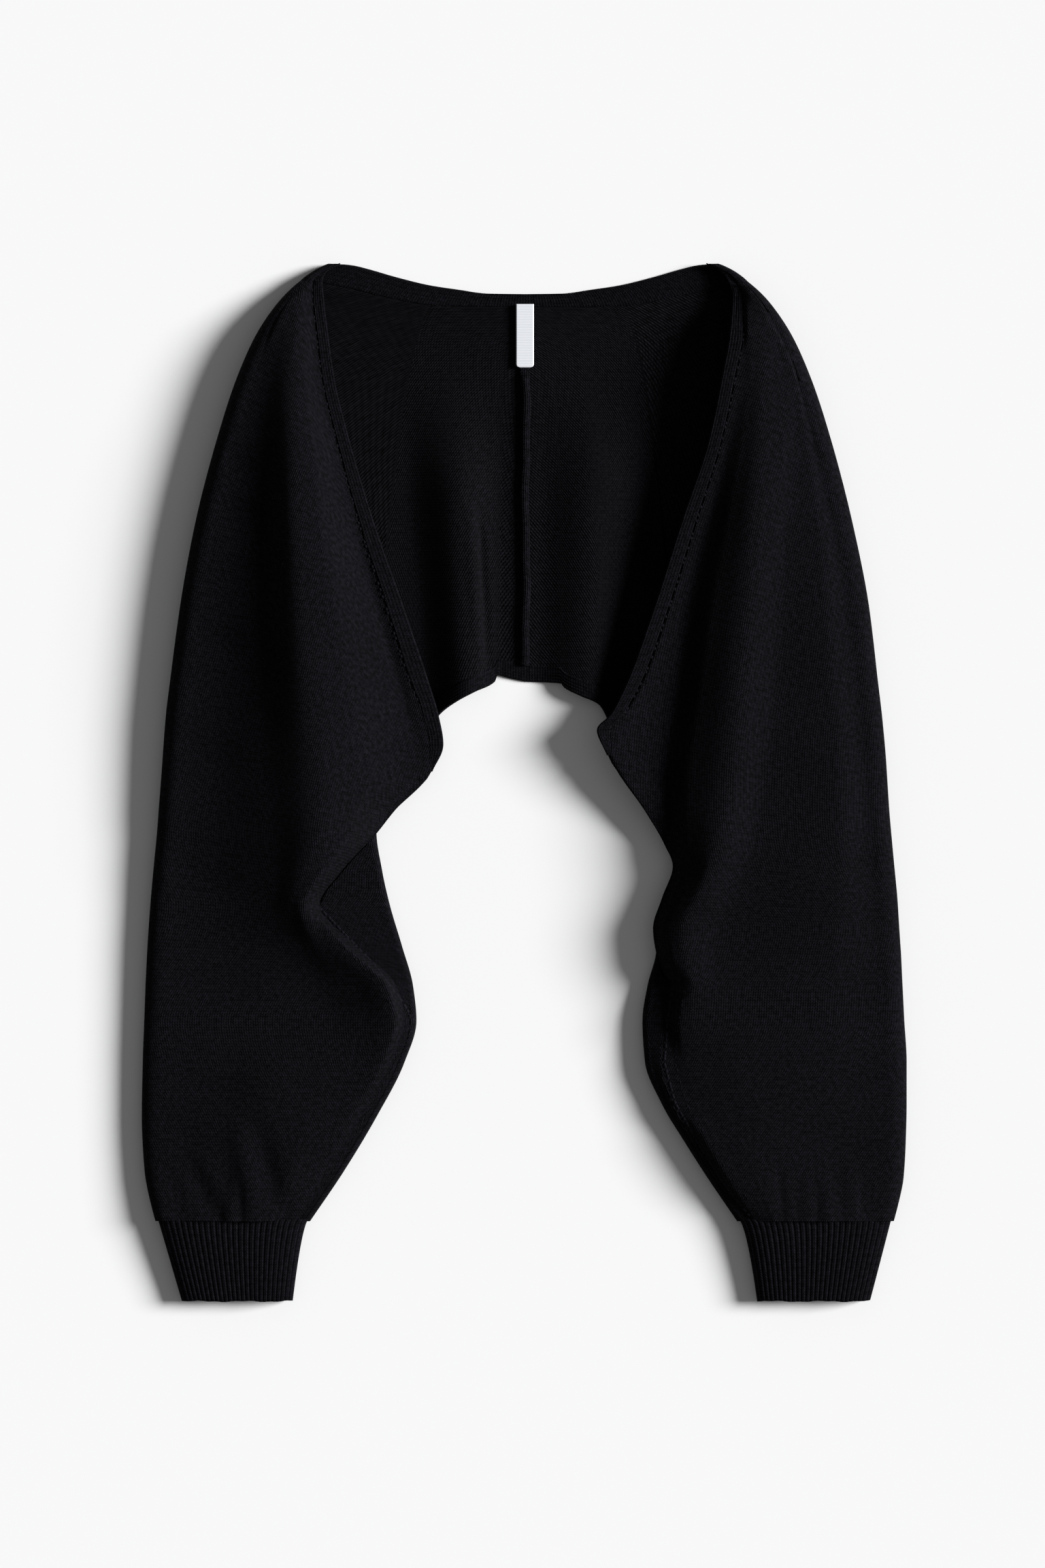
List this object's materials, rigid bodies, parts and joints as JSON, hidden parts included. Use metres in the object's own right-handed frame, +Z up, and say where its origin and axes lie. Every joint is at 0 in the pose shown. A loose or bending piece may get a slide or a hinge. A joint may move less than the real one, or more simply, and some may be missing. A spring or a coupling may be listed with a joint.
{
  "type": "knitted shrug",
  "caption": "Cropped open-front knitted shrug laid flat, with long sleeves, rib cuffs and narrow band edges; it lies on a surface.",
  "frame": {"origin": "middle of the garment's footprint, on the surface it lies on", "axes": "+X to the viewer's right, from the left half to the right half; +Y from the cuffs to the neck; +Z up from the surface"},
  "size_m": [0.5616, 0.7622, 0.046],
  "materials": {
    "plain_knit": "matte black plain knit",
    "band_knit": "matte black knitted band",
    "rib_knit": "matte black 1x1 rib",
    "label_satin": "white woven satin, bare"
  },
  "bodies": {
    "root": {"half_left": "plain_knit", "half_right": "plain_knit", "front_band_left": "band_knit", "front_band_right": "band_knit", "neck_band": "band_knit", "hem_band": "band_knit", "cuff_left": "rib_knit", "cuff_right": "rib_knit", "centre_back_seam": "plain_knit", "label": "label_satin"}
  },
  "joints": []
}
